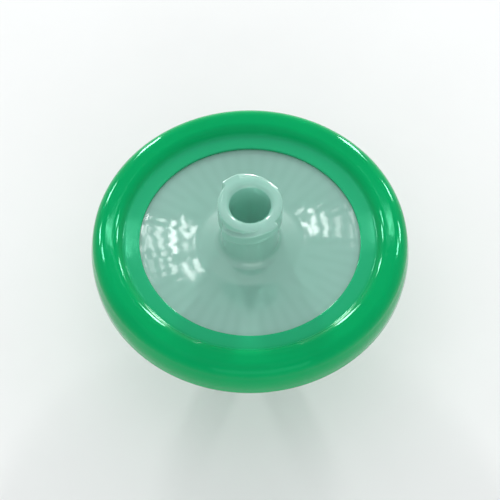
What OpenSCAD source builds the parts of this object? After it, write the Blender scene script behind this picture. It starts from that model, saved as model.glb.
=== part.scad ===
// Syringe filter: a membrane clamped between two clear moulded housings,
// with a coloured ring moulded over their joined rims.
// Inlet: female luer lock on top. Outlet: male luer slip underneath.
// The flow axis is Z, the inlet faces up, and z = 0 is the end of the outlet tip.

/* [Sealing ring] */
// Outer diameter of the sealing ring
ring_d = 33; // [32:0.5:36]
// Thickness of the sealing ring along the flow axis
ring_t = 5; // [4.6:0.1:6]
// Radius of the ring's outer corners
ring_corner = 1.3; // [0.6:0.1:1.5]
// Radius of the crown's inner corners
crown_corner = 1.2; // [0.8:0.1:1.3]
// Swell of the ring's outer wall, corner to middle
ring_swell = 0.12; // [0.05:0.01:0.3]
// Diameter of the window that the ring leaves open
window_d = 22.9; // [22:0.1:23.4]
// Width of the thin lip between window and crown
lip_w = 1.65; // [1.3:0.05:1.7]
// Thickness of that lip above the window face
lip_t = 0.3; // [0.2:0.02:0.4]

/* [Housings] */
// Depth of each window face below the ring's face
window_recess = 1; // [0.8:0.05:1.2]
// Thickness of each housing's window plate
plate_t = 1.12; // [1:0.02:1.2]
// Diameter of the welded flange inside the ring
flange_d = 28.6; // [28:0.1:29]
// Step from the window face down to the flange
flange_step = 0.3; // [0.2:0.05:0.5]

/* [Membrane] */
// Diameter of the membrane disc
membrane_d = 25; // [24:0.1:25.4]
// Thickness of the membrane disc
membrane_t = 0.15; // [0.1:0.01:0.25]

/* [Flow ribs] */
// Ribs round the rim of each housing's inner face
rib_count = 48; // [32:4:48]
// Width of one rib
rib_w = 0.46; // [0.3:0.02:0.5]
// Depth of the channels between the ribs on the inlet side
channel_t = 0.2; // [0.1:0.01:0.25]
// Inner radius of the long ribs on the inlet side
inlet_rib_r = 6; // [5:0.1:7]
// Inner radius of the middle ribs on the outlet side
outlet_rib_r = 5; // [4.2:0.1:6]
// Inner radius of the short ribs on both sides
short_rib_r = 8.2; // [7.6:0.1:9]

/* [Inlet port] */
// Height of the inlet port above the window face
inlet_h = 7.5; // [7.3:0.1:9]
// Diameter of the luer socket at its wide end
socket_d = 4.3; // [4.27:0.01:4.32]
// Chamfer round the mouth of the socket
mouth_chamfer = 0.25; // [0.1:0.05:0.3]
// Straight lead of the socket below that chamfer
socket_land = 1.2; // [1:0.1:1.5]
// Depth of the luer socket from the mouth
socket_depth = 7.6; // [7.5:0.05:7.7]
// Diameter of the hole from the socket to the membrane
inlet_hole_d = 1.5; // [1:0.1:2]
// Outer diameter of the port's rim
rim_d = 6.7; // [6.5:0.05:6.73]
// Outer diameter of the port's neck
neck_d = 6; // [5.8:0.1:6.2]
// Diameter across the two locking lugs
lug_d = 7.83; // [7.7:0.01:7.83]
// Height of a lug along the axis
lug_h = 1.5; // [1.2:0.1:1.7]
// Depth of a lug's low end below the mouth
lug_drop = 2.6; // [2.4:0.1:3]
// Lead of the thread that the lugs follow
lug_lead = 5; // [4.8:0.1:5.2]
// Arc that each locking lug spans, in degrees
lug_arc = 116; // [60:2:120]
// Turn of the lugs about the axis, in degrees
lug_turn = 90; // [0:1:90]
// Diameter of the low cone round the port's foot
boss_d = 10.8; // [10:0.1:12]
// Height of that cone
boss_h = 0.5; // [0.3:0.05:0.8]

/* [Outlet tube] */
// Length of the outlet tube below the ring
outlet_l = 11.5; // [11:0.1:13]
// Diameter of the tip
tip_d = 3.97; // [3.93:0.01:3.99]
// Straight length at the tip
tip_land = 1.5; // [1.2:0.1:2]
// Diameter of the lumen
lumen_d = 2.3; // [2:0.05:2.4]
// Length of the flared foot above the luer taper
foot_l = 2.5; // [2:0.1:3]
// Diameter of the foot where it starts
foot_d1 = 5.5; // [5.2:0.1:5.8]
// Diameter of the foot where it meets the plate
foot_d2 = 7.3; // [6.6:0.1:7.8]

/* [Hidden] */
$fn = 96;

luer = 0.03;                        // luer cone: 6 % on the diameter
zm = outlet_l + ring_t / 2;         // middle plane, where the membrane lies
half = ring_t / 2;
ro = ring_d / 2;
ri = window_d / 2;
face = half - window_recess;        // window faces, from the middle plane
flange = face - flange_step;        // flange faces, from the middle plane
plate_r = ri + 0.55;                // the plate runs a little way under the lip
flange_r = flange_d / 2;
mt = membrane_t / 2;
inner = max(face - plate_t, mt + 0.15);  // inner faces of the plates
rib_z = max(inner - channel_t, mt + 0.05);  // the inlet's ribs stop short of the membrane
clamp_r = ri - 0.15;                // inside of the land that clamps the membrane
nest_r = membrane_d / 2 + 0.05;     // the seat that centres the membrane

crown_r = ri + lip_w;               // where the crown starts
crown_y = half - crown_corner;
lip_y = face + lip_t;
fillet_r = 0.3;                     // a circle that touches the lip and the crown's corner
fillet_x = crown_r + crown_corner - sqrt(pow(crown_corner + fillet_r, 2) - pow(lip_y + fillet_r - crown_y, 2));
// radius of the ring's swelled wall, from its sagitta
swell_r = (pow(half - ring_corner, 2) + pow(ring_swell, 2)) / (2 * ring_swell);

mouth = face + inlet_h;             // from the middle plane
rim_r = rim_d / 2;
neck_r = neck_d / 2;
socket_r = socket_d / 2;
lead_z = mouth - mouth_chamfer - socket_land;  // where the socket's straight lead ends
socket_r2 = socket_r - luer * (lead_z - mouth + socket_depth);
tip_r = tip_d / 2;
plate_z = zm - face;                // outer face of the outlet's plate
foot_z = plate_z - foot_l;
foot_r1 = foot_d1 / 2;
foot_r2 = foot_d2 / 2;
tube_r = tip_r + luer * (foot_z - tip_land);

// ---------- sections and features ----------

// One half of the ring's section, above the middle plane: a crown with round
// corners, a thin lip towards the window, and room for the housings' flanges.
module ring_half() {
    difference() {
        union() {
            // crown
            translate([crown_r, 0]) square([ro - ring_swell - ring_corner - crown_r, half - crown_corner]);
            translate([crown_r + crown_corner, 0]) square([ro - ring_swell - ring_corner - crown_r - crown_corner, half]);
            translate([crown_r + crown_corner, half - crown_corner]) circle(crown_corner);
            // outer corner and swelled wall
            translate([ro - ring_swell - ring_corner, 0]) square([ring_corner, half - ring_corner]);
            translate([ro - ring_swell - ring_corner, half - ring_corner]) circle(ring_corner);
            intersection() {
                translate([ro - swell_r, 0]) circle(swell_r);
                translate([ro - ring_swell - 0.2, 0]) square([1, half - ring_corner]);
            }
            // lip, with its edge eased
            polygon([
                [ri, 0],
                [crown_r + 0.3, 0],
                [crown_r + 0.3, lip_y],
                [ri + 0.08, lip_y],
                [ri, lip_y - 0.08]
            ]);
            // fillet where the lip meets the crown
            difference() {
                polygon([[fillet_x, crown_y], [crown_r + crown_corner, crown_y], [fillet_x, lip_y + fillet_r]]);
                translate([fillet_x, lip_y + fillet_r]) circle(fillet_r);
            }
        }
        // what the housings fill
        translate([ri - 1, -1]) square([plate_r - ri + 1, face + 1]);
        translate([ri - 1, -1]) square([flange_r - ri + 1, flange + 1]);
    }
}

// Ribs on an inner face, out to r1: every fourth one starts at ra, those midway
// between them at rb, and the rest at short_rib_r.
module ribs(ra, rb, r1, z0, z1) {
    for (i = [0 : rib_count - 1]) {
        r0 = i % 4 == 0 ? ra : i % 2 == 0 ? rb : short_rib_r;
        rotate([0, 0, i * 360 / rib_count])
            translate([r0, -rib_w / 2, z0])
                cube([r1 - r0, rib_w, z1 - z0]);
    }
}

// One locking lug: a stretch of thread cut from a ring by two planes at the
// thread's slope. It rises anticlockwise and ends level with the mouth.
module lug() {
    rise = lug_lead * lug_arc / 720;    // over half the arc
    slope = atan(rise / (lug_d / 2 * sin(lug_arc / 2)));
    intersection() {
        rotate([0, 0, -lug_arc / 2])
            rotate_extrude(angle = lug_arc)
                polygon([
                    [rim_r - 0.4, mouth - lug_drop - 0.2],
                    [lug_d / 2, mouth - lug_drop - 0.2],
                    [lug_d / 2, mouth - 0.15],
                    [lug_d / 2 - 0.15, mouth],
                    [rim_r - 0.4, mouth]
                ]);
        translate([0, 0, mouth - lug_drop + rise + lug_h / 2])
            rotate([slope, 0, 0])
                cube([12, 12, lug_h * cos(slope)], center = true);
    }
}

// ---------- pieces ----------

module inlet_housing() {
    color([0.86, 0.93, 0.90, 0.6])
    translate([0, 0, zm]) {
        difference() {
            union() {
                // plate, cone, neck and rim in one turned body
                rotate_extrude() polygon([
                    [0, inner],
                    [clamp_r, inner],
                    [clamp_r, mt],
                    [flange_r, mt],
                    [flange_r, flange],
                    [plate_r, flange],
                    [plate_r, face],
                    [boss_d / 2, face],
                    [neck_r + 0.4, face + boss_h],
                    [neck_r, face + boss_h + 0.5],
                    [neck_r, mouth - lug_drop - 0.5],
                    [rim_r, mouth - lug_drop],
                    [rim_r, mouth - 0.15],
                    [rim_r - 0.15, mouth],
                    [0, mouth]
                ]);
                for (a = [0, 180]) rotate([0, 0, lug_turn + a]) lug();
                ribs(inlet_rib_r, inlet_rib_r, clamp_r + 0.2, rib_z, inner + 0.2);
            }
            // luer socket: chamfer, short straight lead, 6 % taper, flat bottom
            translate([0, 0, mouth - mouth_chamfer]) cylinder(h = 2 * mouth_chamfer, r1 = socket_r, r2 = socket_r + 2 * mouth_chamfer);
            translate([0, 0, lead_z]) cylinder(h = socket_land + mouth_chamfer, r = socket_r);
            translate([0, 0, mouth - socket_depth]) cylinder(h = lead_z - mouth + socket_depth, r1 = socket_r2, r2 = socket_r);
            // flow hole
            translate([0, 0, 0]) cylinder(h = mouth - socket_depth + 0.5, d = inlet_hole_d);
        }
    }
}

module membrane() {
    color([0.97, 0.97, 0.96])
    translate([0, 0, zm - mt]) cylinder(h = membrane_t, d = membrane_d);
}

module outlet_housing() {
    color([0.86, 0.93, 0.90, 0.6])
    difference() {
        union() {
            // tip, luer taper, flared foot, plate and flange in one turned body
            rotate_extrude() polygon([
                [0, 0],
                [tip_r - 0.1, 0],
                [tip_r, 0.1],
                [tip_r, tip_land],
                [tube_r, foot_z],
                [foot_r1 - 0.12, foot_z],
                [foot_r1, foot_z + 0.15],
                [foot_r2, plate_z],
                [plate_r, plate_z],
                [plate_r, zm - flange],
                [flange_r, zm - flange],
                [flange_r, zm + mt],
                [nest_r, zm + mt],
                [nest_r, zm - mt],
                [clamp_r, zm - mt],
                [clamp_r, zm - inner],
                [0, zm - inner]
            ]);
            ribs(1.9, outlet_rib_r, clamp_r + 0.2, zm - inner - 0.2, zm - mt);
        }
        // lumen
        translate([0, 0, -1]) cylinder(h = zm + 1, d = lumen_d);
    }
}

module sealing_ring() {
    color([0.0, 0.66, 0.38])
    translate([0, 0, zm])
        rotate_extrude() {
            ring_half();
            mirror([0, 1]) ring_half();
        }
}

inlet_housing();
membrane();
outlet_housing();
sealing_ring();
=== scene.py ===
"""A syringe filter: milky clear housings with their flow ribs, the white membrane between them, and the green ring moulded round the rim."""

import math

import bpy
import numpy as np
from mathutils import Matrix, Vector


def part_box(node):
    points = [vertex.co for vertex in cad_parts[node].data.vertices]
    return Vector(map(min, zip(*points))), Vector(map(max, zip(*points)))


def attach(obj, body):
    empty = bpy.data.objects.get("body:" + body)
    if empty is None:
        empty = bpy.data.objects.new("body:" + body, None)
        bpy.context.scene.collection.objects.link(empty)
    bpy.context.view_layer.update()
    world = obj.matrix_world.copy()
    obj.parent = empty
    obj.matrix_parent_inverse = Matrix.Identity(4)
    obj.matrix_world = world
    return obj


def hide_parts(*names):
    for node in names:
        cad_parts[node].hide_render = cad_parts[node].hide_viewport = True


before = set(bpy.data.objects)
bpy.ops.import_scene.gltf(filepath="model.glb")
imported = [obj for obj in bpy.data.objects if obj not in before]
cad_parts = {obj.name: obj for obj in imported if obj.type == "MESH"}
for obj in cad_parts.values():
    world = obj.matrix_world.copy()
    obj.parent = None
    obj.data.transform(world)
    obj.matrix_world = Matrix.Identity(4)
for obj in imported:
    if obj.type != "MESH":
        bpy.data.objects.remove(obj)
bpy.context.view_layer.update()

MM = 0.001
RIBS = 48
PITCH = 2 * math.pi / RIBS
RIB_HALF = 0.23  # half the width of a flow rib
AIR = 0.01  # the pieces stand this far apart where they meet, in mm

# ---- sizes, all in mm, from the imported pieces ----

ring_lo, ring_hi = (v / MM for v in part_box("sealing_ring"))
inlet_lo, inlet_hi = (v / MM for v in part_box("inlet_housing"))
outlet_lo, outlet_hi = (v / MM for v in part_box("outlet_housing"))
film_lo, film_hi = (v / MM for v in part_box("membrane"))

ZM = (ring_lo.z + ring_hi.z) / 2  # middle plane
HALF = (ring_hi.z - ring_lo.z) / 2
RO = ring_hi.x
FLANGE_R = inlet_hi.x
FILM_R = film_hi.x
MT = (film_hi.z - film_lo.z) / 2
MOUTH = inlet_hi.z - ZM
TIP_Z = outlet_lo.z

FACE = HALF - 1.0  # window faces
FLANGE = FACE - 0.3
INNER = FACE - 1.12
RIB_Z = INNER - 0.2
RI = 11.45
PLATE_R = RI + 0.55
CLAMP_R = RI - 0.15
NEST_R = FILM_R + 0.05


# ---- meshes ----


def smooth(a, b, x):
    t = np.clip((x - a) / (b - a), 0.0, 1.0)
    return t * t * (3 - 2 * t)


def rounded(points, keep=0.035):
    """A closed outline from (r, z, radius, steps) corners. Each rounded corner gets its arc, and a point just past each end of it, so that the flat beside it shades flat."""
    n = len(points)
    out = []
    for i in range(n):
        p0 = np.array(points[i - 1][:2], float)
        p1 = np.array(points[i][:2], float)
        p2 = np.array(points[(i + 1) % n][:2], float)
        rad = points[i][2] if len(points[i]) > 2 else 0.0
        steps = points[i][3] if len(points[i]) > 3 else 3
        a, b = p0 - p1, p2 - p1
        la, lb = np.linalg.norm(a), np.linalg.norm(b)
        a, b = a / la, b / lb
        turn = math.acos(float(np.clip(-a @ b, -1, 1)))
        if rad <= 0 or turn < 0.02:
            out.append(tuple(p1))
            continue
        t = min(rad * math.tan(turn / 2), 0.46 * la, 0.46 * lb)
        rr = t / math.tan(turn / 2)
        bis = (a + b) / np.linalg.norm(a + b)
        c = p1 + bis * math.hypot(rr, t)
        s, e = p1 + a * t - c, p1 + b * t - c
        a0 = math.atan2(s[1], s[0])
        da = (math.atan2(e[1], e[0]) - a0 + math.pi) % (2 * math.pi) - math.pi
        if la > 2 * t + 3 * keep:
            out.append(tuple(p1 + a * (t + keep)))
        for k in range(steps + 1):
            w = a0 + da * k / steps
            out.append((c[0] + rr * math.cos(w), c[1] + rr * math.sin(w)))
        if lb > 2 * t + 3 * keep:
            out.append(tuple(p1 + b * (t + keep)))
    return out


def divide(path, r0, r1, z, step, extra=()):
    """Adds points along the flat at height z between two radii."""
    out = []
    n = len(path)
    for i in range(n):
        p, q = path[i], path[(i + 1) % n]
        out.append(p)
        if (
            abs(p[1] - z) < 1e-6
            and abs(q[1] - z) < 1e-6
            and abs(p[0] - q[0]) > step
            and min(p[0], q[0]) > r0 - 1e-6
            and max(p[0], q[0]) < r1 + 1e-6
        ):
            lo, hi = sorted((p[0], q[0]))
            at = [*np.linspace(lo, hi, int((hi - lo) / step) + 2)[1:-1]]
            at = [v for v in at if all(abs(v - e) > 0.6 * step for e in extra)]
            at += [e for e in extra if lo + 0.03 < e < hi - 0.03]
            at = sorted(at, reverse=bool(p[0] > q[0]))
            out += [(v, z) for v in at]
    return out


def turned(name, path, angles, shape=None, closed=True):
    """Turns an outline of (r, z) in mm about Z. shape moves its points: it gets r, z and the angle as grids. An open path starts and ends on the axis."""
    path = np.array(path, float)
    area = 0.5 * np.sum(path[:, 0] * np.roll(path[:, 1], -1) - np.roll(path[:, 0], -1) * path[:, 1])
    m, n = len(path), len(angles)
    r = np.repeat(path[:, :1], n, 1)
    z = np.repeat(path[:, 1:], n, 1)
    t = np.repeat(np.array(angles)[None], m, 0)
    if shape:
        r, z = shape(r, z, t)
    co = np.stack([r * np.cos(t), r * np.sin(t), z], -1)
    faces = []
    if closed:
        verts = co.reshape(-1, 3)
        i = np.arange(m)[:, None]
        j = np.arange(n)[None]
        i2, j2 = (i + 1) % m, (j + 1) % n
        quads = np.stack([i * n + j, i * n + j2 + 0 * i, i2 * n + j2, i2 * n + j + 0 * i], -1)
        faces = quads.reshape(-1, 4)
        if area < 0:
            faces = faces[:, ::-1]
        faces = faces.tolist()
    else:
        first, last = co[0].mean(0), co[-1].mean(0)
        verts = np.concatenate([[first], co[1:-1].reshape(-1, 3), [last]])
        rows = m - 2
        for j in range(n):
            faces.append((0, 1 + (j + 1) % n, 1 + j))
            faces.append((1 + rows * n, 1 + (rows - 1) * n + j, 1 + (rows - 1) * n + (j + 1) % n))
        for i in range(rows - 1):
            for j in range(n):
                a = 1 + i * n
                faces.append((a + j, a + (j + 1) % n, a + n + (j + 1) % n, a + n + j))
        if area < 0:
            faces = [f[::-1] for f in faces]
    me = bpy.data.meshes.new(name)
    me.from_pydata((verts * MM).tolist(), [], faces)
    me.validate()
    me.shade_smooth()
    ob = bpy.data.objects.new(name, me)
    bpy.context.scene.collection.objects.link(ob)
    return ob


def rib_angles(lugs=False):
    """Angles that follow the ribs, closest together at the sides of each rib, and at the ends of the lugs."""
    at = set()
    for i in range(RIBS):
        for o in (-3.75, -2.5, -1.62, -1.3, -1.02, 0, 1.02, 1.3, 1.62, 2.5):
            at.add(round((i * 360 / RIBS + o) % 360, 4))
    if lugs:
        for c in (90, 270):
            for s in (-1, 1):
                for o in (-0.75, -0.5, -0.25, 0, 0.25, 0.5, 0.75):
                    at.add(round((c + s * LUG_ARC + o) % 360, 4))
    at = sorted(at)
    kept = [at[0]]
    for a in at[1:]:
        if a - kept[-1] > 0.14:
            kept.append(a)
    return [math.radians(a) for a in kept]


def rib_mask(r, t, starts):
    """1 on a rib, 0 in a channel. starts are the inner radii of every fourth rib, of those midway, and of the rest."""
    k = np.round(t / PITCH)
    d = np.abs(np.sin(t - k * PITCH)) * r
    k = np.mod(k, 4).astype(int)
    start = np.where(k == 0, starts[0], np.where(k == 2, starts[1], starts[2]))
    return (1 - smooth(RIB_HALF - 0.03, RIB_HALF + 0.06, d)) * smooth(start - 0.12, start + 0.1, r)


def sink(r, t, starts):
    """The soft hollows that thick ribs leave in the face behind them."""
    k = np.round(t / PITCH)
    d = np.abs(np.sin(t - k * PITCH)) * r
    k = np.mod(k, 4).astype(int)
    start = np.where(k == 0, starts[0], np.where(k == 2, starts[1], starts[2]))
    return np.exp(-((d / 0.42) ** 2)) * smooth(start - 0.8, start + 0.8, r)


def unevenness(r, t, seed):
    """Slow waves of a moulded face, between -1 and 1."""
    x, y = r * np.cos(t), r * np.sin(t)
    rng = np.random.default_rng(seed)
    out = 0.0
    for _ in range(9):
        a, k, p = rng.uniform(0, 2 * math.pi), rng.uniform(0.5, 1.5), rng.uniform(0, 2 * math.pi)
        out = out + np.sin((x * math.cos(a) + y * math.sin(a)) * k + p)
    return out / 9


def mark_ribs(ob, level, starts):
    """Stores where the ribs show through the outer face, blurred as the milky plastic blurs them; the housing paints
    its face darker there, a painted shade.
    """
    me = ob.data
    co = np.empty(len(me.vertices) * 3)
    me.vertices.foreach_get("co", co)
    x, y, z = (co.reshape(-1, 3) / MM).T
    r, t = np.hypot(x, y), np.arctan2(y, x)
    near = 1 - smooth(0.05, 0.25, np.abs(z - level))
    k = np.round(t / PITCH)
    d = np.abs(np.sin(t - k * PITCH)) * r
    k = np.mod(k, 4).astype(int)
    start = np.where(k == 0, starts[0], np.where(k == 2, starts[1], starts[2]))
    value = np.exp(-((d / 0.36) ** 2)) * smooth(start - 0.5, start + 0.7, r) * (1 - smooth(RI - 0.3, RI, r)) * near
    me.attributes.new("rib", "FLOAT", "POINT").data.foreach_set("value", value.astype(np.float32))


# ---- inlet housing ----

INLET_RIBS = (6.0, 6.0, 8.2)
OUTLET_RIBS = (1.9, 5.0, 8.2)
LUG_ARC = 57.4  # half the arc of a locking lug, in degrees
hole_r, socket_r, rim_r, neck_r, boss_r = 0.75, 2.15, 3.35, 3.0, 5.4
lug_r = 3.915
lead_z = MOUTH - 1.45
socket_r2 = socket_r - 0.03 * (lead_z - MOUTH + 7.6)

inlet_path = rounded(
    [
        (hole_r, INNER, 0.12, 3),
        (CLAMP_R, INNER, 0.06, 2),
        (CLAMP_R, MT + AIR, 0.04, 2),
        (FLANGE_R - AIR, MT + AIR, 0.08, 2),
        (FLANGE_R - AIR, FLANGE - AIR, 0.08, 2),
        (PLATE_R - AIR, FLANGE - AIR, 0.05, 2),
        (PLATE_R - AIR, FACE, 0.08, 2),
        (boss_r, FACE, 3.0, 4),
        (neck_r + 0.4, FACE + 0.5, 0.8, 4),
        (neck_r, FACE + 1.0, 0.9, 4),
        (neck_r, MOUTH - 3.1, 0.12, 3),
        (rim_r, MOUTH - 2.6, 0.08, 2),
        (rim_r, MOUTH - 0.35, 0),
        (socket_r, MOUTH - 0.45, 0),
        (socket_r, lead_z, 0),
        (socket_r2, MOUTH - 7.6, 0.2, 4),
        (hole_r, MOUTH - 7.6, 0.1, 3),
    ]
)
inlet_path = divide(
    inlet_path, hole_r, CLAMP_R, INNER, 0.5,
    (5.86, 5.96, 6.06, 6.16, 8.06, 8.16, 8.26, 8.36),
)
inlet_path = divide(inlet_path, boss_r, PLATE_R, FACE, 0.42)

# The rim and the mouth's edge, from the top of the outer wall to the wall of the socket.
edge = [
    (rim_r, MOUTH - 0.17),
    (rim_r - 0.02, MOUTH - 0.095),
    (rim_r - 0.07, MOUTH - 0.05),
    (rim_r - 0.15, MOUTH - 0.026),
    (rim_r - 0.28, MOUTH - 0.008),
    (rim_r - 0.42, MOUTH),
    (rim_r - 0.56, MOUTH - 0.008),
    (rim_r - 0.70, MOUTH - 0.026),
    (rim_r - 0.82, MOUTH - 0.05),
    (socket_r + 0.29, MOUTH - 0.085),
    (socket_r + 0.22, MOUTH - 0.14),
    (socket_r + 0.10, MOUTH - 0.25),
    (socket_r + 0.03, MOUTH - 0.32),
    (socket_r, MOUTH - 0.40),
]
WALL = 18  # rows of the wall, which the lugs pull out into their own outline
last = max(i for i, p in enumerate(inlet_path) if abs(p[0] - rim_r) < 1e-6)
foot_z = inlet_path[last - 1][1]
wall = [(rim_r, foot_z + (MOUTH - 0.2 - foot_z) * (k + 1) / (WALL + 0.5)) for k in range(WALL)]
lug_rows = range(last, last + WALL + len(edge))
inlet_path = inlet_path[:last] + wall + edge + inlet_path[last + 2 :]
RISE = 5.0 * 58 / 360  # of the lugs' thread over half their arc


def lug_section(low, high):
    """A lug's outline between two heights, from the wall under it over the crest to the mouth's edge. high may reach past the mouth: the lug then ends level with it."""
    top = min(high, MOUTH)
    out = lug_r - 0.01
    start = foot_z + 0.02
    over = max(0.0, min(1.0, (MOUTH - 0.17 - top) / 0.06))  # 1 where the rim's wall stands above the lug

    def crown(r):
        return top - 0.02 * ((r - rim_r + 0.42) / 0.56) ** 2

    rows = [
        (rim_r, start + (low - 0.05 - start) * 0.5),
        (rim_r, low - 0.04),
        (rim_r + 0.015, low - 0.012),
        (rim_r + 0.05, low),
        (out - 0.14, low + 0.012),
        (out - 0.06, low + 0.035),
        (out - 0.015, low + 0.09),
        (out, low + 0.17),
        (out, low + 0.5 * (top - low)),
        (out, top - 0.24),
        (out - 0.012, top - 0.16),
        (out - 0.05, crown(out - 0.05) - 0.035),
        (out - 0.12, crown(out - 0.12) - 0.008),
        (out - 0.22, crown(out - 0.22)),
        (out - 0.34, crown(out - 0.34)),
        (rim_r + 0.07, crown(rim_r + 0.07)),
        (rim_r + 0.04, crown(rim_r + 0.04) + 0.004 * over),
        (rim_r + 0.012, crown(rim_r + 0.012) + 0.03 * over),
    ]
    return rows + [(r, max(z, crown(r))) if r > rim_r - 0.42 else (r, z) for r, z in edge]


def inlet_shape(r, z, t):
    r, z = r.copy(), z.copy()
    under = (np.abs(z - INNER) < 1e-6) & (r < CLAMP_R - 0.05)
    ribs = rib_mask(r, t, INLET_RIBS) * (INNER - RIB_Z)
    z = np.where(under, z - ribs, z)
    top = (np.abs(z - FACE) < 1e-6) & (r > boss_r)
    dip = 0.001 * sink(r, t, INLET_RIBS) + 0.008 * (1 + unevenness(r, t, 4)) / 2 * smooth(boss_r, boss_r + 1, r)
    z = np.where(top, z - dip * (1 - smooth(RI - 0.3, RI, r)), z)
    # the lugs rise anticlockwise along their thread
    for j in range(t.shape[1]):
        a = (math.degrees(t[0, j]) % 180) - 90
        on = float(1 - smooth(LUG_ARC - 11, LUG_ARC + 0.5, abs(a)))
        if on == 0:
            continue
        low = MOUTH - 2.58 + RISE * (1 + math.sin(math.radians(max(-58, min(58, a)))) / math.sin(math.radians(58)))
        low = max(low, foot_z + 0.12)
        rows = np.array(lug_section(low, low + 1.46))
        for row, (lr, lz) in zip(lug_rows, rows):
            r[row, j] += (lr - r[row, j]) * on
            z[row, j] += (lz - z[row, j]) * on
    return r, z + ZM


inlet = turned("inlet_body", inlet_path, rib_angles(lugs=True), inlet_shape)
mark_ribs(inlet, ZM + FACE, INLET_RIBS)

# ---- membrane ----

film_path = [(0, -MT + AIR / 2), (0.4, -MT + AIR / 2)]
film_path += [(r, -MT + AIR / 2) for r in np.arange(1.0, FILM_R - 0.1, 0.45)]
film_path += [(FILM_R - 0.04, -MT + AIR / 2), (FILM_R - 0.01, -MT + 0.03), (FILM_R - 0.01, MT - 0.03), (FILM_R - 0.04, MT - AIR / 2)]
film_path += [(r, MT - AIR / 2) for r in np.arange(1.0, FILM_R - 0.1, 0.45)[::-1]]
film_path += [(0.4, MT - AIR / 2), (0, MT - AIR / 2)]


def film_shape(r, z, t):
    # the film is drawn a little way down into the channels of its support
    free = (1 - smooth(CLAMP_R - 0.8, CLAMP_R, r)) * (1 - np.clip(rib_mask(r, t, OUTLET_RIBS), 0, 1))
    return r, z - 0.02 * free * smooth(0.8, 2.2, r) + ZM


film = turned("membrane_film", film_path, rib_angles(), film_shape, closed=False)

# ---- outlet housing ----

tip_r, lumen_r = 1.985, 1.15
low = TIP_Z - ZM  # heights from the middle plane
foot = -FACE - 2.5
tube_r = tip_r + 0.03 * (foot - low - 1.5)
outlet_path = rounded(
    [
        (lumen_r, low, 0.08, 3),
        (tip_r - 0.06, low, 0.03, 2),
        (tip_r, low + 0.1, 0.08, 3),
        (tip_r, low + 1.5, 2.0, 3),
        (tube_r, foot, 0.1, 3),
        (2.70, foot, 0.1, 4),
        (3.65, -FACE, 0.35, 4),
        (PLATE_R - AIR, -FACE, 0.08, 2),
        (PLATE_R - AIR, -FLANGE + AIR, 0.05, 2),
        (FLANGE_R - AIR, -FLANGE + AIR, 0.08, 2),
        (FLANGE_R - AIR, MT - AIR, 0.08, 2),
        (NEST_R, MT - AIR, 0.03, 2),
        (NEST_R, -MT - AIR, 0.03, 2),
        (CLAMP_R, -MT - AIR, 0.04, 2),
        (CLAMP_R, -INNER, 0.06, 2),
        (lumen_r, -INNER, 0.15, 3),
    ]
)
outlet_path = divide(
    outlet_path, lumen_r, CLAMP_R, -INNER, 0.5,
    (1.76, 1.86, 1.96, 2.06, 4.86, 4.96, 5.06, 5.16, 8.06, 8.16, 8.26, 8.36),
)
outlet_path = divide(outlet_path, 3.65, PLATE_R, -FACE, 0.42)


def outlet_shape(r, z, t):
    z = z.copy()
    over = (np.abs(z + INNER) < 1e-6) & (r < CLAMP_R - 0.05)
    ribs = rib_mask(r, t, OUTLET_RIBS) * (INNER - MT - AIR)
    z = np.where(over, z + ribs, z)
    under = (np.abs(z + FACE) < 1e-6) & (r > 3.7)
    dip = 0.005 * sink(r, t, OUTLET_RIBS) + 0.008 * (1 + unevenness(r, t, 9)) / 2
    z = np.where(under, z + dip * smooth(4.0, 4.8, r) * (1 - smooth(RI - 0.3, RI, r)), z)
    return r, z + ZM


outlet = turned("outlet_body", outlet_path, rib_angles(), outlet_shape)
mark_ribs(outlet, ZM - FACE, OUTLET_RIBS)

# ---- sealing ring ----

CROWN_R = RI + 1.65
CORNER, OUTER = 1.2, 1.3
SWELL = 0.12
LIP = FACE + 0.3
FIL = 0.3
fil_x = CROWN_R + CORNER - math.sqrt((CORNER + FIL) ** 2 - (LIP + FIL - HALF + CORNER) ** 2)
turn = math.atan2(LIP + FIL - (HALF - CORNER), fil_x - (CROWN_R + CORNER))  # where the fillet meets the corner


def arc(cx, cz, rad, a0, a1, n):
    return [(cx + rad * math.cos(a0 + (a1 - a0) * k / n), cz + rad * math.sin(a0 + (a1 - a0) * k / n)) for k in range(n + 1)]


bottom_face = -HALF
upper = []
upper += arc(RO - SWELL - OUTER, HALF - OUTER, OUTER, 0, math.pi / 2, 14)
upper += [(r, HALF) for r in (15.0, 14.85, 14.7, 14.55, 14.4)]
upper += arc(CROWN_R + CORNER, HALF - CORNER, CORNER, math.pi / 2, turn, 12)
upper += arc(fil_x, LIP + FIL, FIL, turn - math.pi, -math.pi / 2, 6)[1:]
upper += [(r, LIP) for r in (12.9, 12.6, 12.3, 12.0, 11.75)]
upper += arc(RI + 0.09, LIP - 0.09, 0.09, math.pi / 2, math.pi, 4)
upper += [(RI, FACE + 0.12), (RI, FACE + 2 * AIR)]
cavity = [(PLATE_R + AIR, FACE + 2 * AIR), (PLATE_R + AIR, FLANGE + AIR), (FLANGE_R + AIR, FLANGE + AIR)]
swell_r = ((HALF - OUTER) ** 2 + SWELL**2) / (2 * SWELL)
wall = [
    (RO - swell_r + math.sqrt(swell_r**2 - z * z), z)
    for z in np.linspace(-(HALF - OUTER), HALF - OUTER, 13)[1:-1]
]
lower = [(r, -z) for r, z in upper[::-1]]
ring_path = lower + wall + upper + cavity + [(r, -z) for r, z in cavity[::-1]]


def ring_shape(r, z, t):
    z, r = z.copy(), r.copy()
    side = np.sign(z)
    face = smooth(LIP - 0.05, LIP + 0.02, np.abs(z)) * smooth(RI, RI + 0.5, r)
    wave = (1 + unevenness(r * 0.5, t, 2)) / 2
    z = z - side * face * 0.006 * wave
    r = r - 0.008 * (1 + unevenness(r * 0.45, t, 7)) / 2 * smooth(RO - 0.6, RO - 0.1, r)
    return r, z + ZM


ring_angles = [2 * math.pi * k / 288 for k in range(288)]
ring = turned("ring_moulding", ring_path, ring_angles, ring_shape)

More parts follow.
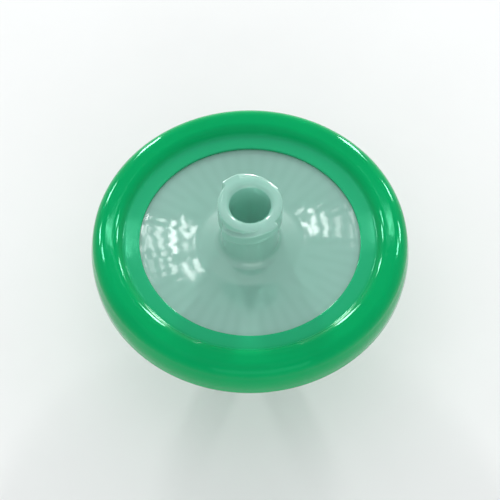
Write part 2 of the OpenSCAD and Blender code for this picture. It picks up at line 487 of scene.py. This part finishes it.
# ---- materials ----


def material(name):
    mat = bpy.data.materials.new(name)
    mat.use_nodes = True
    nt = mat.node_tree
    nt.nodes.clear()
    out = nt.nodes.new("ShaderNodeOutputMaterial")
    bsdf = nt.nodes.new("ShaderNodeBsdfPrincipled")
    nt.links.new(bsdf.outputs["BSDF"], out.inputs["Surface"])
    return mat, nt, bsdf


def node(nt, kind, **props):
    n = nt.nodes.new(kind)
    for k, v in props.items():
        setattr(n, k, v)
    return n


def coords(nt):
    return node(nt, "ShaderNodeTexCoord").outputs["Object"]


def noise(nt, vector, scale, detail=3.0, rough=0.5, kind="3D"):
    n = node(nt, "ShaderNodeTexNoise", noise_dimensions=kind)
    n.inputs["Scale"].default_value = scale
    n.inputs["Detail"].default_value = detail
    n.inputs["Roughness"].default_value = rough
    if vector is not None:
        nt.links.new(vector, n.inputs["Vector"])
    return n.outputs["Fac"]


def ramp(nt, factor, stops, smooth_steps=False):
    n = node(nt, "ShaderNodeValToRGB")
    if smooth_steps:
        n.color_ramp.interpolation = "EASE"
    el = n.color_ramp.elements
    while len(el) < len(stops):
        el.new(0.5)
    for e, (p, c) in zip(el, stops):
        e.position = p
        e.color = (*c, 1)
    nt.links.new(factor, n.inputs["Fac"])
    return n.outputs["Color"]


def spread(nt, factor, lo, hi, a=0.35, b=0.65):
    n = node(nt, "ShaderNodeMapRange")
    n.inputs["From Min"].default_value = a
    n.inputs["From Max"].default_value = b
    n.inputs["To Min"].default_value = lo
    n.inputs["To Max"].default_value = hi
    nt.links.new(factor, n.inputs["Value"])
    return n.outputs["Result"]


def maths(nt, op, a, b=None, clamp=False):
    n = node(nt, "ShaderNodeMath", operation=op, use_clamp=clamp)
    for i, v in enumerate((a, b)):
        if v is None:
            continue
        if isinstance(v, (int, float)):
            n.inputs[i].default_value = v
        else:
            nt.links.new(v, n.inputs[i])
    return n.outputs[0]


def bump(nt, height, distance, strength=1.0, normal=None):
    n = node(nt, "ShaderNodeBump")
    n.inputs["Distance"].default_value = distance
    n.inputs["Strength"].default_value = strength
    nt.links.new(height, n.inputs["Height"])
    if normal is not None:
        nt.links.new(normal, n.inputs["Normal"])
    return n.outputs["Normal"]


def radius(nt, vector):
    """Distance from the flow axis in mm, and the height, as outputs."""
    s = node(nt, "ShaderNodeSeparateXYZ")
    nt.links.new(vector, s.inputs[0])
    xx = maths(nt, "MULTIPLY", s.outputs["X"], s.outputs["X"])
    yy = maths(nt, "MULTIPLY", s.outputs["Y"], s.outputs["Y"])
    r = maths(nt, "SQRT", maths(nt, "ADD", xx, yy))
    return maths(nt, "MULTIPLY", r, 1000.0), maths(nt, "MULTIPLY", s.outputs["Z"], 1000.0), s


def blended(nt, factor, a, b):
    """Colour a, passing to the plain colour b as factor grows."""
    mix = node(nt, "ShaderNodeMix", data_type="RGBA")
    nt.links.new(factor, mix.inputs["Factor"])
    nt.links.new(a, mix.inputs["A"])
    mix.inputs["B"].default_value = b
    return mix.outputs["Result"]


def housing_plastic(name, seed, mouth=False):
    """Natural polypropylene: milky, with faint cloudy flow marks and a moulded gloss."""
    mat, nt, b = material(name)
    at = coords(nt)
    cloud = noise(nt, at, 260 + seed, 4, 0.55)
    colour = ramp(nt, cloud, [(0.3, (0.375, 0.72, 0.60)), (0.7, (0.41, 0.75, 0.635))])
    r, z, _ = radius(nt, at)
    rib = node(nt, "ShaderNodeAttribute", attribute_name="rib").outputs["Fac"]
    # painted shade: the face is painted darker over the ribs, standing in for how they show through the milky plastic
    colour = blended(nt, maths(nt, "MULTIPLY", rib, 0.35), colour, (0.31, 0.64, 0.52, 1))
    if mouth:  # painted light on the mouth: the socket's inside is painted paler, standing in for the light its milky walls carry into it
        # painted light: a paler colour inside the socket, above the face, in place of the light that reaches it
        socket_painted_light = maths(nt, "MULTIPLY", spread(nt, r, 1.0, 0.0, 2.2, 2.45), spread(nt, z, 0.0, 1.0, ZM + FACE, ZM + FACE + 1.0))
        colour = blended(nt, socket_painted_light, colour, (0.40, 0.80, 0.67, 1))
        # painted highlight: the rim's edge gets a set tone and less transmission so that it reads as a brighter ring
        rim_painted_highlight = spread(nt, z, 0.0, 1.0, ZM + MOUTH - 0.5, ZM + MOUTH - 0.2)
        colour = blended(nt, rim_painted_highlight, colour, (0.39, 0.73, 0.61, 1))
        nt.links.new(maths(nt, "SUBTRACT", 0.5, maths(nt, "MULTIPLY", rim_painted_highlight, 0.1)), b.inputs["Transmission Weight"])
    else:  # the tube is painted paler, a painted light standing in for how bright it looks; its thin wall also gets more transmission
        tube = maths(nt, "MULTIPLY", spread(nt, r, 1.0, 0.0, 3.0, 3.6), spread(nt, z, 1.0, 0.0, ZM - FACE - 2.6, ZM - FACE - 0.6))
        colour = blended(nt, tube, colour, (0.60, 0.88, 0.79, 1))
        nt.links.new(maths(nt, "ADD", 0.5, maths(nt, "MULTIPLY", tube, 0.15)), b.inputs["Transmission Weight"])
    nt.links.new(colour, b.inputs["Base Color"])
    fine = noise(nt, at, 900, 3, 0.5)
    nt.links.new(spread(nt, fine, 0.32, 0.38), b.inputs["Roughness"])
    b.inputs["IOR"].default_value = 1.49
    b.inputs["Specular IOR Level"].default_value = 0.4
    b.inputs["Coat Weight"].default_value = 1.0
    b.inputs["Coat Roughness"].default_value = 0.028
    b.inputs["Coat IOR"].default_value = 1.49
    b.inputs["Sheen Weight"].default_value = 0.1
    b.inputs["Sheen Roughness"].default_value = 0.35
    b.inputs["Sheen Tint"].default_value = (0.75, 1.0, 0.93, 1)
    slow = noise(nt, at, 620, 2, 0.5)
    grain = noise(nt, at, 2200, 2, 0.5)
    n1 = bump(nt, slow, 0.0000009, 0.8)
    nt.links.new(bump(nt, grain, 0.0000002, 0.6, n1), b.inputs["Normal"])
    return mat


def film_material(name):
    """White porous film: matt, with a fine felted grain."""
    mat, nt, b = material(name)
    at = coords(nt)
    felt = noise(nt, at, 5200, 6, 0.7)
    tint = ramp(nt, felt, [(0.3, (0.80, 0.82, 0.79)), (0.7, (0.90, 0.91, 0.885))])
    nt.links.new(tint, b.inputs["Base Color"])
    nt.links.new(spread(nt, felt, 0.78, 0.95), b.inputs["Roughness"])
    b.inputs["Specular IOR Level"].default_value = 0.25
    nt.links.new(bump(nt, felt, 0.00002, 0.5), b.inputs["Normal"])
    return mat


def ring_plastic(name):
    """Green polypropylene: saturated in the thick crown, paler in the thin lip, with a moulded gloss."""
    mat, nt, b = material(name)
    at = coords(nt)
    r, z, _ = radius(nt, at)
    lip = spread(nt, r, 1.0, 0.0, 12.85, 13.45)
    body = noise(nt, at, 130, 3, 0.5)
    green = ramp(nt, body, [(0.3, (0.0, 0.315, 0.092)), (0.7, (0.0, 0.345, 0.102))])
    mix = node(nt, "ShaderNodeMix", data_type="RGBA")
    nt.links.new(lip, mix.inputs["Factor"])
    nt.links.new(green, mix.inputs["A"])
    mix.inputs["B"].default_value = (0.018, 0.36, 0.155, 1)
    nt.links.new(mix.outputs["Result"], b.inputs["Base Color"])
    fine = noise(nt, at, 700, 4, 0.55)
    nt.links.new(spread(nt, fine, 0.035, 0.06), b.inputs["Roughness"])
    b.inputs["IOR"].default_value = 1.49
    b.inputs["Specular IOR Level"].default_value = 0.32
    b.inputs["Specular Tint"].default_value = (0.18, 1.0, 0.62, 1)
    b.inputs["Subsurface Weight"].default_value = 0.12
    b.inputs["Subsurface Radius"].default_value = (0.1, 1.0, 0.45)
    b.inputs["Subsurface Scale"].default_value = 0.0006
    slow = noise(nt, at, 240, 2, 0.5)
    grain = noise(nt, at, 2600, 2, 0.5)
    n1 = bump(nt, slow, 0.0000025, 0.35)
    nt.links.new(bump(nt, grain, 0.0000003, 0.5, n1), b.inputs["Normal"])
    return mat


def dress(piece, mat, cad_node):
    piece.data.materials.append(mat)
    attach(piece, "root")
    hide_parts(cad_node)


dress(inlet, housing_plastic("inlet_polypropylene", 0, mouth=True), "inlet_housing")
dress(outlet, housing_plastic("outlet_polypropylene", 40), "outlet_housing")
dress(film, film_material("porous_film"), "membrane")
dress(ring, ring_plastic("ring_polypropylene"), "sealing_ring")

# ---- floor, light and camera ----

centre = Vector((0, 0, ZM * MM))

floor_me = bpy.data.meshes.new("floor")
s = 4.0
floor_me.from_pydata([(-s, -s, 0), (s, -s, 0), (s, s, 0), (-s, s, 0)], [], [(0, 1, 2, 3)])
floor = bpy.data.objects.new("floor", floor_me)
floor.location.z = -0.00003
bpy.context.scene.collection.objects.link(floor)
fmat, fnt, fb = material("floor_board")
speck = noise(fnt, coords(fnt), 60, 4, 0.6)
fnt.links.new(ramp(fnt, speck, [(0.2, (0.80, 0.80, 0.79)), (0.8, (0.83, 0.83, 0.82))]), fb.inputs["Base Color"])
fb.inputs["Roughness"].default_value = 0.75
fb.inputs["Specular IOR Level"].default_value = 0.2
floor_me.materials.append(fmat)


def area(name, way, distance, size, power, colour=(1, 1, 1)):
    lamp = bpy.data.lights.new(name, "AREA")
    lamp.shape = "RECTANGLE"
    lamp.size, lamp.size_y = size
    lamp.energy = power
    lamp.color = colour
    ob = bpy.data.objects.new(name, lamp)
    d = Vector(way).normalized()
    ob.location = centre + d * distance
    ob.rotation_euler = (-d).to_track_quat("-Z", "Y").to_euler()
    ob.visible_camera = False
    bpy.context.scene.collection.objects.link(ob)
    return ob


# A row of narrow tubes high behind, mirrored by the flat faces, two upright lamps low behind for the corners of the ring, and broad soft ones above and in front.
elevation = math.radians(58)
back = Vector((0, -math.cos(elevation), math.sin(elevation)))
distance = 0.55
face_centre = Vector((0, 0, (ZM + FACE) * MM))
mirror = Vector((0, math.cos(elevation), math.sin(elevation)))
TUBES = 0.2  # how far the tubes are from the face
GLOW = 24.0  # their radiance


def mirrored(x, y, high=0.0):
    """Where a lamp stands whose reflection the camera sees at x, y in mm, on a level surface high above the inlet face."""
    at = face_centre + Vector((x, y, high)) * MM
    way = at - (centre + back * distance)
    way.z = -way.z
    return at + way.normalized() * TUBES, at


def lamp_between(name, p, q, to, wide, glow):
    """A narrow lamp from p to q that faces to. wide is in metres, and glow is its radiance."""
    along, facing = (q - p).normalized(), (p + q) / 2 - to
    facing = (facing - along * facing.dot(along)).normalized()
    lamp = bpy.data.lights.new(name, "AREA")
    lamp.shape = "RECTANGLE"
    lamp.size, lamp.size_y = (q - p).length, wide
    lamp.energy = math.pi * lamp.size * lamp.size_y * glow
    ob = bpy.data.objects.new(name, lamp)
    ob.matrix_world = Matrix.Translation((p + q) / 2) @ Matrix((along, facing.cross(along), facing)).transposed().to_4x4()
    ob.visible_camera = False
    bpy.context.scene.collection.objects.link(ob)


def tube_lamp(name, a, b, glow, high=0.0):
    """A tube whose reflection on a level face runs from a to b."""
    (p, at), (q, _) = mirrored(*a, high), mirrored(*b, high)
    lamp_between(name, p, q, at, 0.5 * MM * (distance + TUBES) / distance, glow)


def crown_lamp(name, r, angle, length, glow):
    """A lamp for the ring's gloss alone, mirrored as a stroke along its rounded crown."""
    lean = (CROWN_R + CORNER - r) / CORNER if r < CROWN_R + CORNER else min(0.0, (RO - SWELL - OUTER - r) / OUTER)
    ends = []
    for s in (-1, 0, 1):
        a = math.radians(angle) + s * length / 2 / r
        out = Vector((math.cos(a), math.sin(a), 0))
        n = Vector((0, 0, math.sqrt(1 - lean**2))) - lean * out
        at = (ZM + HALF - (CORNER if lean > 0 else OUTER) * (1 - n.z)) * MM * Vector((0, 0, 1)) + out * r * MM
        way = at - (centre + back * distance)
        ends.append(at + (way - 2 * way.dot(n) * n).normalized() * TUBES)
        if s == 0:
            middle = at
    lamp_between(name, ends[0], ends[2], middle, 0.03, glow)
    ob = bpy.data.objects[name]
    ob.data.color = (1.0, 0.78, 0.88)  # paler once the green gloss has tinted it
    ob.visible_diffuse = ob.visible_transmission = False
    ob.light_linking.receiver_collection = ring_only


ring_only = bpy.data.collections.new("ring_only")
ring_only.objects.link(ring)
rng = np.random.default_rng(6)
for k in range(9):
    high = 0.0 if k < 6 else 0.3 if k < 7 else 1.0
    part = 2.0 if k > 6 else 0.3 + 0.7 * math.exp(-(((k - 2.6) / 1.8) ** 2))
    x = 3.9 + 1.33 * k
    top, foot = 4.2 - 0.08 * k + 0.3 * rng.uniform(-1, 1), 0.6 - 0.1 * k + 0.5 * rng.uniform(-1, 1)
    far = 0.6 if 3 < k < 7 else 0.9
    tube_lamp("tube_right_%d" % k, (x, top), (x + 0.05, foot), GLOW * part * far * rng.uniform(0.6, 1.0), high)
    x = -4.0 - 1.33 * k
    top, foot = 2.6 + 0.5 * rng.uniform(-1, 1), -1.2 + 0.4 * rng.uniform(-1, 1)
    tube_lamp("tube_left_%d" % k, (x - 0.5, top), (x + 0.5, foot), GLOW * part * rng.uniform(0.6, 1.0), high)
    if 1 < k < 6:
        tube_lamp("tube_low_%d" % k, (x - 0.1, foot - 0.9), (x + 0.6, foot - 3.0), 0.75 * GLOW * part * rng.uniform(0.4, 0.9), high)
strokes = ((15.35, 187, 1.8), (13.8, 195.5, 1.6), (13.75, 178, 1.6))
strokes += ((15.35, -5, 1.8), (13.8, -14, 1.6), (13.75, 3, 1.6))
for k, (r, angle, length) in enumerate(strokes):
    crown_lamp("crown_%d" % k, r, angle, length, 48.0)
area("strip_left", (-0.34, 0.88, 0.36), 0.5, (0.05, 0.16), 1.0)
area("strip_right", (0.34, 0.88, 0.36), 0.5, (0.05, 0.16), 1.0)
area("top_soft", (-0.15, -0.25, 1.0), 1.1, (1.2, 1.0), 1.2)
area("front_soft", (0.1, -0.92, 0.38), 1.0, (1.0, 0.6), 2.4)

world = bpy.data.worlds.new("studio")
world.use_nodes = True
bg = world.node_tree.nodes["Background"]
bg.inputs["Color"].default_value = (0.95, 0.98, 1.0, 1)
bg.inputs["Strength"].default_value = 0.74
bpy.context.scene.world = world

cam_data = bpy.data.cameras.new("camera")
cam = bpy.data.objects.new("camera", cam_data)
bpy.context.scene.collection.objects.link(cam)
cam_data.sensor_width = 36
width = 0.052
cam_data.lens = 36 * distance / width
cam.location = centre + back * distance
cam.rotation_euler = (-back).to_track_quat("-Z", "Y").to_euler()
cam_data.clip_start, cam_data.clip_end = 0.01, 20
bpy.context.scene.camera = cam

bpy.context.scene.view_settings.view_transform = "Standard"
bpy.context.scene.view_settings.look = "None"
